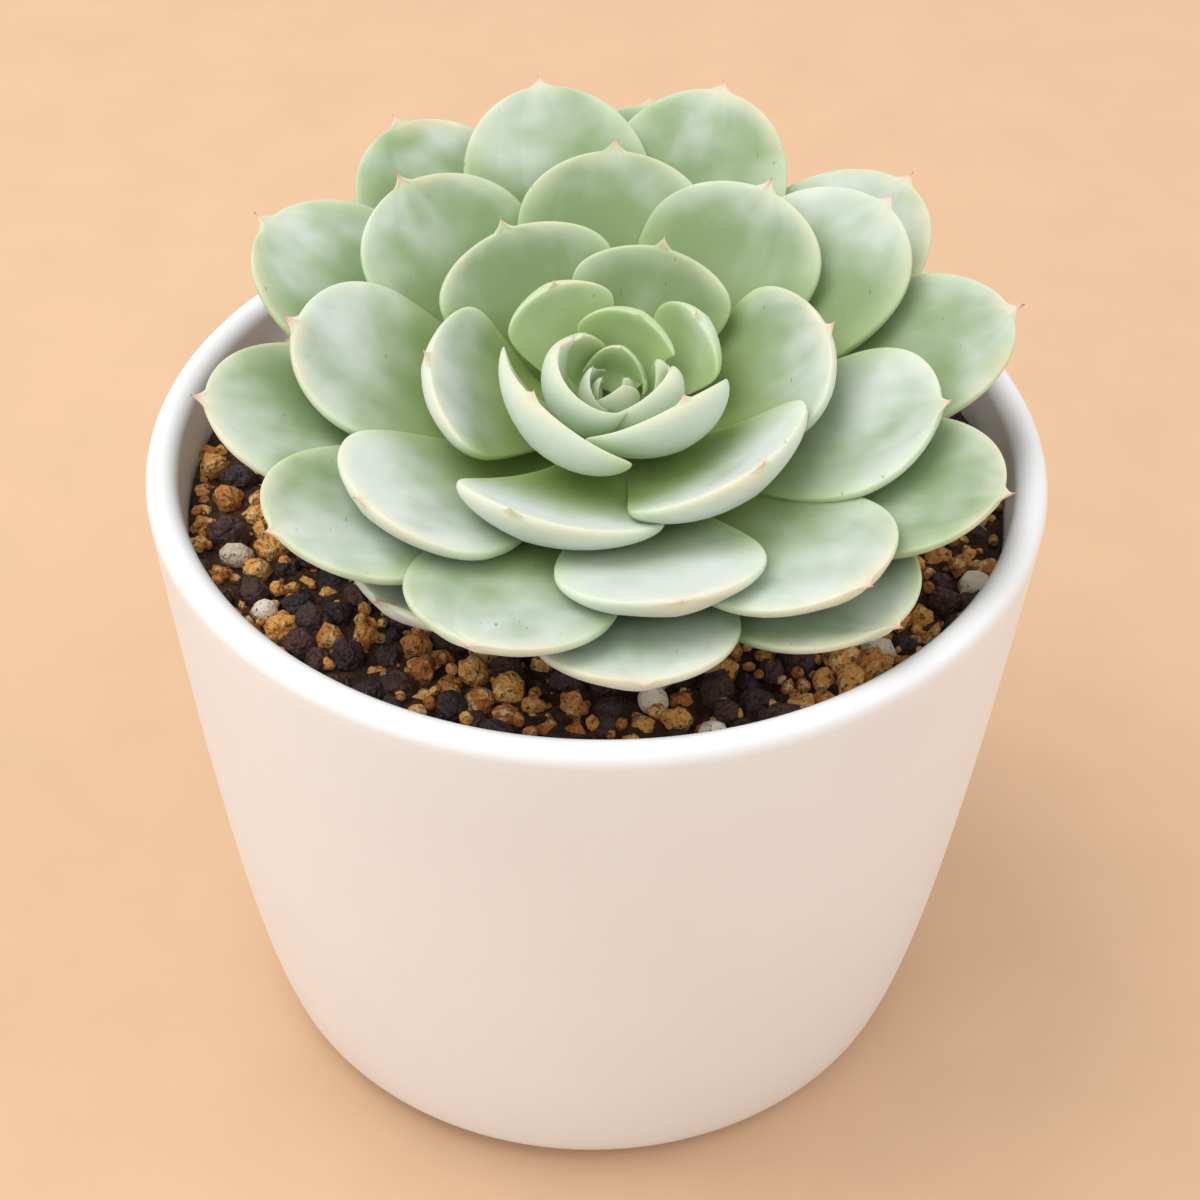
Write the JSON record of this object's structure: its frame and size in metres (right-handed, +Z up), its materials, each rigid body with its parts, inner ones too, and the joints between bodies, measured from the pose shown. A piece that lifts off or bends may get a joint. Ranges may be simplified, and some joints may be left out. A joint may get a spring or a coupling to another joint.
{
  "type": "potted succulent",
  "caption": "Potted echeveria: a broad rosette of fleshy pointed leaves on a short stem, in coarse granules, in a tapered white pot.",
  "frame": {"origin": "on the ground, under the middle of the pot's foot", "axes": "+Z up along the pot's axis; -Y is the side that the picture is taken from, toward which the rosette leans a little; +X to the right in the picture"},
  "size_m": [0.11, 0.11, 0.1103],
  "materials": {
    "pot_ceramic": "satin warm-white glaze",
    "soil_grains": "rough matt granules in ochre, dark brown and off-white",
    "stem_skin": "matt woody green skin",
    "bud_skin": "smooth waxy young leaves",
    "leaf_skin": "powdery waxy bloom, pale margin and pink point"
  },
  "bodies": {
    "root": {"pot": "pot_ceramic", "soil": "soil_grains", "stem": "stem_skin", "bud": "bud_skin", "leaf_01": "leaf_skin", "leaf_02": "leaf_skin", "leaf_03": "leaf_skin", "leaf_04": "leaf_skin", "leaf_05": "leaf_skin", "leaf_06": "leaf_skin", "leaf_07": "leaf_skin", "leaf_08": "leaf_skin", "leaf_09": "leaf_skin", "leaf_10": "leaf_skin", "leaf_11": "leaf_skin", "leaf_12": "leaf_skin", "leaf_13": "leaf_skin", "leaf_14": "leaf_skin", "leaf_15": "leaf_skin", "leaf_16": "leaf_skin", "leaf_17": "leaf_skin", "leaf_18": "leaf_skin", "leaf_19": "leaf_skin", "leaf_20": "leaf_skin", "leaf_21": "leaf_skin", "leaf_22": "leaf_skin", "leaf_23": "leaf_skin", "leaf_24": "leaf_skin", "leaf_25": "leaf_skin", "leaf_26": "leaf_skin", "leaf_27": "leaf_skin", "leaf_28": "leaf_skin", "leaf_29": "leaf_skin", "leaf_30": "leaf_skin", "leaf_31": "leaf_skin", "leaf_32": "leaf_skin", "leaf_33": "leaf_skin", "leaf_34": "leaf_skin", "leaf_35": "leaf_skin", "leaf_36": "leaf_skin"}
  },
  "joints": []
}
